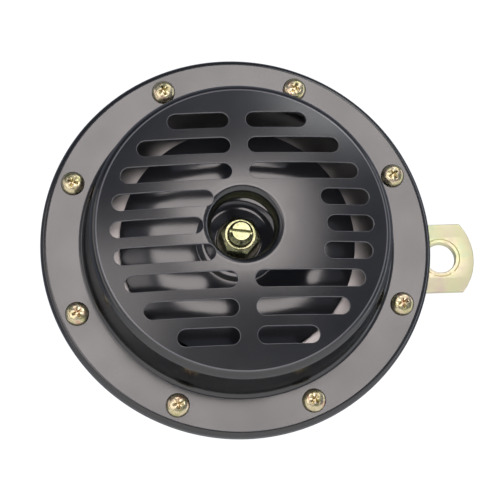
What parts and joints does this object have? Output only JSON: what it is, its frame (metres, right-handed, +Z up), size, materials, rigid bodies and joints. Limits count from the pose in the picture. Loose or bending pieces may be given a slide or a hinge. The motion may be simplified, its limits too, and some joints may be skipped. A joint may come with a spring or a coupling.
{
  "type": "car horn",
  "caption": "Round disc horn: black pressed cover with rows of slots, screwed to a drawn housing with an electromagnet, diaphragm and tone disc, on a flat bracket.",
  "frame": {"origin": "centre of the bracket's mounting hole, on the bracket's rear face", "axes": "+Z up as in the picture; the horn faces -Y; the bracket points to +X from the horn's axis"},
  "size_m": [0.1497, 0.0621, 0.13],
  "materials": {
    "black_paint": "semi-gloss black stoved enamel",
    "disc_paint": "satin black",
    "yellow_zinc": "yellow passivated zinc plating",
    "bright_steel": "bare steel",
    "brass": "rolled brass",
    "contact": "tungsten contact",
    "copper": "enamelled copper wire",
    "phenolic": "black moulded phenolic",
    "fibre": "red-brown fibre board",
    "gasket_paper": "oiled sealing sheet"
  },
  "bodies": {
    "horn": {"front_grille": "black_paint", "housing": "black_paint", "rim_screws": "yellow_zinc", "bracket": "yellow_zinc", "lock_washer": "yellow_zinc", "bracket_nut": "yellow_zinc", "adjusting_screw": "yellow_zinc", "adjusting_nut": "yellow_zinc", "breaker_screw": "yellow_zinc", "diaphragm": "bright_steel", "magnet_core": "bright_steel", "breaker_post": "bright_steel", "clamp_plate": "bright_steel", "fixed_arm": "brass", "terminal_tab_left": "brass", "terminal_tab_right": "brass", "terminal_rivets": "brass", "fixed_contact": "contact", "coil_winding": "copper", "terminal_block": "phenolic", "coil_bobbin": "phenolic", "lower_insulator": "fibre", "middle_insulator": "fibre", "upper_insulator": "fibre", "front_gasket": "gasket_paper", "rear_gasket": "gasket_paper"},
    "stem": {"clamp_washer": "bright_steel", "disc_spacer": "bright_steel", "tone_disc": "disc_paint", "centre_washer": "yellow_zinc", "centre_nut": "yellow_zinc", "centre_stud": "yellow_zinc", "armature": "bright_steel", "pusher_ring": "fibre"},
    "breaker_arm": {"moving_arm": "bright_steel", "moving_contact": "contact"}
  },
  "joints": [
    {"name": "stem_slide", "type": "slide", "parent": "horn", "child": "stem", "axis": [0, -1, 0], "range_m": [-0.00045, 0.00045], "stiffness_N_per_m": 40000, "deforming": ["diaphragm"]},
    {"name": "breaker_flex", "type": "hinge", "parent": "horn", "child": "breaker_arm", "pos_m": [-0.0975, -0.01965, 0], "axis": [0, 0, 1], "range_deg": [0, 2], "stiffness_Nm_per_rad": 0.5, "deforming": ["moving_arm"]}
  ]
}
